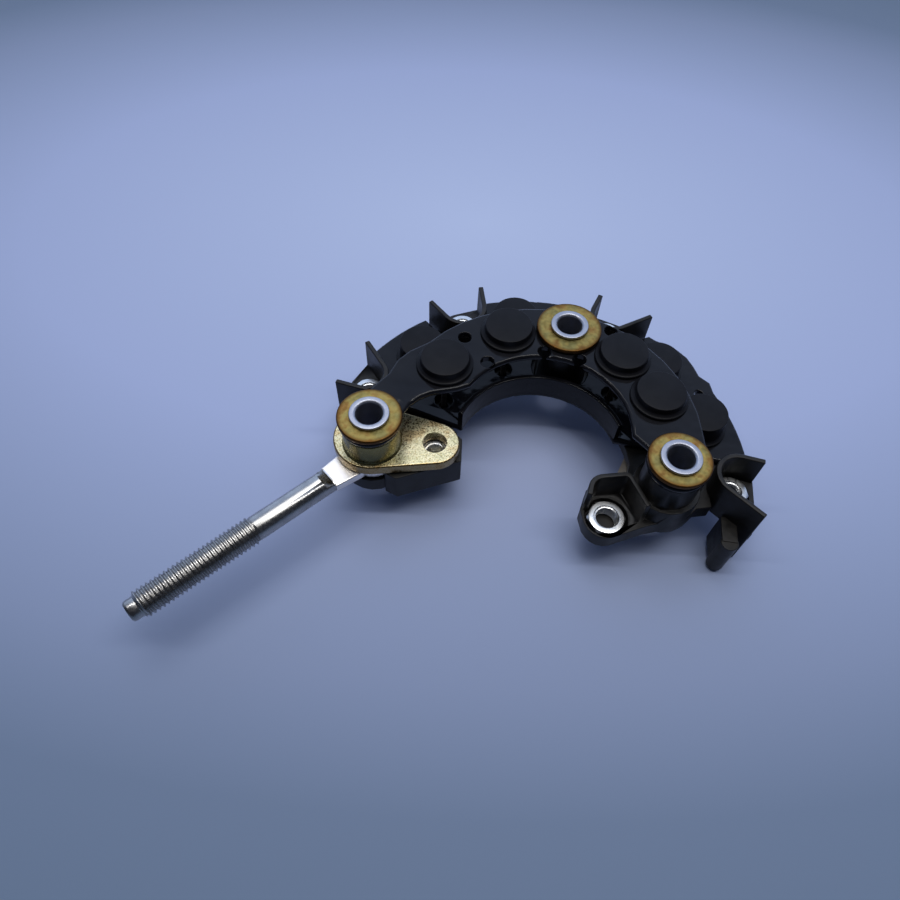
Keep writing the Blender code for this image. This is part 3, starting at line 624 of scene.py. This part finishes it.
def around(first, first_radius, second, second_radius, step=4.0):
    """The outline round two discs and the straight flanks between them."""
    way = degrees(atan2(second[1] - first[1], second[0] - first[0]))
    gap = hypot(second[0] - first[0], second[1] - first[1])
    lean = degrees(acos((first_radius - second_radius) / gap))

    def arc(centre, radius, start, end):
        count = int(abs(end - start) / step) + 1
        return [polar(radius, start + (end - start) * i / count, centre) for i in range(count + 1)]

    return (arc(first, first_radius, way + lean, way + 360 - lean)
            + arc(second, second_radius, way - lean, way + lean))


# %% Output base
base_bottom, base_top = height_of("output_base")
FLANGE_THICKNESS, LOBE, LOBE_RADIUS, EAR_RADIUS = 3.6, (LEFT[0] - 0.35, LEFT[1] + 1.57), 10.9, 7.1
BOSS_RADIUS, BOSS_BORE, EAR_BORE = 8.1, 6.0, 3.5
flange_top = base_bottom + FLANGE_THICKNESS
outline = around(LOBE, LOBE_RADIUS, EAR, EAR_RADIUS)
flange = drill(plate(outline, base_bottom, flange_top, 0.5), [(LEFT, BOSS_BORE), (EAR, EAR_BORE)],
               base_bottom - 1, flange_top + 1)
flange = make_piece("base_flange", flange, BASE_GOLD, ("output_base",), 32)
flange.modifiers.new("soft_rims", "WEIGHTED_NORMAL").keep_sharp = True
mark_rim(flange, lambda p: 0.0 if p.z > flange_top - 0.03 else 0.9 if p.z > flange_top - 0.45
         else 0.65)
profile = [(BOSS_BORE, base_bottom + 0.05), (8.0, base_bottom + 0.05), (8.6, flange_top - 0.2),
           (8.45, flange_top + 0.12), (8.15, flange_top + 0.45), (BOSS_RADIUS, flange_top + 1.0),
           (BOSS_RADIUS, base_top), (BOSS_BORE, base_top)]
boss = make_piece("base_boss", spin_profile(soften(profile, 0.35), LEFT, 96), BOSS_SHADE_AND_HIGHLIGHT_GOLD)
# The boss's foot and top edge take the lighter rim tone: painted highlights.
mark_rim(boss, lambda p: 1.0 if p.z < flange_top + 0.5 or p.z > base_top - 0.5 else 0.0)
print("made the output base")

# %% [markdown]
# ## The output stud
#
# One forged bar: a dog point, a thread, a smooth shank, and a flat tang whose eye is clamped
# under the output base. The thread is drawn as M8 with its standard pitch. That is an
# assumption: the crests in the photograph lie further apart. The thread is wound first, and the
# point and the shank are drawn out from its two borders. The tang and its eye are kept from the
# solid, which is cut off square where the flat tang ends.

# %% Output stud
STUD_ANGLE, STUD_LENGTH = 222.3, 76.5
PITCH, CREST, ROOT, SHANK, POINT = 1.25, 4.0, 3.38, 3.55, 3.0
TANG_END, ROUND_START, THREAD_START, THREAD_END = 15.5, 18.4, 40.3, 73.3
stud_bottom, stud_top = height_of("output_stud")
stud_height = (stud_bottom + stud_top) / 2
along_stud = (Matrix.Translation((*LEFT, stud_height)) @ Matrix.Rotation(radians(STUD_ANGLE), 4, "Z"))
lie_down = Matrix.Rotation(radians(90), 4, "Y")


def pressed(half):
    """The shank's section where a press has flattened it to this half thickness."""
    return lambda turn: min(SHANK, half / max(abs(cos(radians(turn))), 0.01))


bm = wind_thread(ROOT, CREST, PITCH, THREAD_START, THREAD_END)
tip = carry_on(bm, border(bm, THREAD_END), [
    (ROOT - 0.05, THREAD_END + 0.15), (POINT, THREAD_END + 0.45), (POINT, STUD_LENGTH - 0.7),
    (POINT - 0.15, STUD_LENGTH - 0.3), (POINT - 0.5, STUD_LENGTH)])
root = carry_on(bm, border(bm, THREAD_START), [
    (ROOT, THREAD_START - 0.25), (SHANK - 0.04, THREAD_START - 0.6),
    (SHANK, THREAD_START - 0.9), (SHANK, ROUND_START), (pressed(2.9), ROUND_START - 0.5),
    (pressed(1.75), TANG_END + 0.3), (pressed(1.45), TANG_END), (pressed(1.40), TANG_END - 0.8)])
for loop in (tip, root):
    bmesh.ops.edgeloop_fill(bm, edges=loop)
bmesh.ops.transform(bm, matrix=along_stud @ lie_down, verts=bm.verts)
make_piece("stud_thread", bm, STEEL, (), 40)

bm = bmesh.new()
bm.from_mesh(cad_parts["output_stud"].data)
bmesh.ops.transform(bm, matrix=Matrix.Scale(1 / MM, 4) @ Matrix.Translation(-RING), verts=bm.verts)
bmesh.ops.remove_doubles(bm, verts=bm.verts, dist=2e-3)
facing = along_stud.to_3x3() @ Vector((1, 0, 0))
cut_at = along_stud @ Vector((TANG_END, 0, 0))
bmesh.ops.bisect_plane(bm, geom=bm.verts[:] + bm.edges[:] + bm.faces[:], plane_co=cut_at,
                       plane_no=facing, clear_outer=True)
bmesh.ops.dissolve_limit(bm, angle_limit=radians(0.5), verts=bm.verts, edges=bm.edges)
# The tang wears the near-white lit copy of the stud's coat: a painted highlight.
tang = make_piece("stud_tang", bm, LIT_TANG_STEEL, ("output_stud",), 50)
tang.modifiers.new("soft_rims", "WEIGHTED_NORMAL").keep_sharp = True
print("stud axis at", round(stud_height, 2))

# %% [markdown]
# ## Camera
#
# The photograph was taken from in front of the C's mouth and above it, looking down 56.6
# degrees with a slight roll. The camera's axes are written out from those two angles.

# %% Place the camera
TILT, ROLL = radians(56.60), radians(2.486)
rightwards = Vector((1, 0, 0))
upwards = Vector((0, sin(TILT), cos(TILT)))
forwards = Vector((0, cos(TILT), -sin(TILT)))
x_axis = rightwards * cos(ROLL) + upwards * sin(ROLL)
y_axis = upwards * cos(ROLL) - rightwards * sin(ROLL)
camera_data = bpy.data.cameras.new("camera")
camera_data.sensor_width = 36.0
camera_data.lens = 28.62
camera_data.clip_start = 0.005
camera = bpy.data.objects.new("camera", camera_data)
bpy.context.collection.objects.link(camera)
turn = Matrix((x_axis, y_axis, -forwards)).transposed().to_4x4()
camera.matrix_world = Matrix.Translation(at(-25.49, -114.22, 155.0)) @ turn
bpy.context.scene.camera = camera
print("camera at", [round(v, 3) for v in camera.location])

# %% [markdown]
# ## Floor
#
# The object lies on a pale blue sheet. Its colour is painted lightest behind the object and darker
# and greyer towards the front: a painted falloff of the light. A colour ramp on the distance from
# one point of the sheet paints that.

# %% Floor
bm = bmesh.new()
bmesh.ops.create_grid(bm, x_segments=1, y_segments=1, size=3.0)
mesh = bpy.data.meshes.new("floor")
bm.to_mesh(mesh)
bm.free()
floor = bpy.data.objects.new("floor", mesh)
bpy.context.collection.objects.link(floor)
sheet, tree, sheet_shader, where = new_finish("pale_sheet", specular=0.2)
SHEET_MIDDLE, SHEET_STRETCH, SHEET_REACH = (0.005, 0.120), 0.62, 0.27
spread = tree.nodes.new("ShaderNodeMapping")
spread.inputs["Scale"].default_value = (SHEET_STRETCH, 1.0, 0.0)
spread.inputs["Location"].default_value = (-SHEET_MIDDLE[0] * SHEET_STRETCH, -SHEET_MIDDLE[1], 0.0)
tree.links.new(where, spread.inputs["Vector"])
length = tree.nodes.new("ShaderNodeVectorMath")
length.operation = "LENGTH"
tree.links.new(spread.outputs["Vector"], length.inputs[0])
far = add_range(tree, length.outputs["Value"], 0.0, 1.0, 0.0, SHEET_REACH)
# Painted light falloff: the ramp darkens the sheet's colour from behind the object to the front.
tone = add_ramp(tree, far, [(0.0, (0.46, 0.53, 0.73)), (0.23, (0.41, 0.475, 0.68)),
                            (0.42, (0.37, 0.43, 0.64)), (0.58, (0.29, 0.345, 0.51)),
                            (0.69, (0.235, 0.285, 0.42)), (0.81, (0.155, 0.205, 0.30)),
                            (1.0, (0.13, 0.18, 0.255))])
tree.links.new(tone, sheet_shader.inputs["Base Color"])
sheet_shader.inputs["Roughness"].default_value = 0.6
mesh.materials.append(sheet)
print("laid the floor")

# %% [markdown]
# ## Lamps and world
#
# The photograph was taken in a light tent. A broad lamp overhead gives the plain soft light,
# and a long thin tube beside it draws the narrow bright lines on rounded rims. The world is
# pale blue behind the object, which is what its flat black tops mirror, and dim in front.

# %% Lamps
def lamp(name, place, target, size, power):
    """A rectangular lamp of size (width, height) that faces its target."""
    data = bpy.data.lights.new(name, "AREA")
    data.shape = "RECTANGLE"
    data.size, data.size_y = size
    data.energy = power
    obj = bpy.data.objects.new(name, data)
    obj.location = place
    obj.rotation_euler = (Vector(target) - Vector(place)).to_track_quat("-Z", "Y").to_euler()
    bpy.context.collection.objects.link(obj)
    return obj


lamp("broad_lamp", (0.08, 0.09, 0.9), (0.0, 0.0, 0.0), (0.9, 0.45), 3.3)
lamp("tube", (0.0, 0.02, 0.9), (0.0, 0.0, 0.0), (1.3, 0.03), 2.7)

# %% World
world = bpy.data.worlds.new("light_tent")
bpy.context.scene.world = world
world.use_nodes = True
tree = world.node_tree
heading = tree.nodes.new("ShaderNodeSeparateXYZ")
tree.links.new(tree.nodes.new("ShaderNodeTexCoord").outputs["Generated"], heading.inputs[0])
backwards = add_range(tree, heading.outputs["Y"], 0.0, 1.0, -0.25, 0.65)
tent = add_ramp(tree, backwards, [(0.0, (0.03, 0.035, 0.05)), (0.45, (0.20, 0.24, 0.34)),
                                  (1.0, (0.60, 0.76, 1.10))])
tree.links.new(tent, tree.nodes["Background"].inputs["Color"])
tree.nodes["Background"].inputs["Strength"].default_value = 1.0
bpy.context.scene.view_settings.view_transform = "Standard"
print("lit")
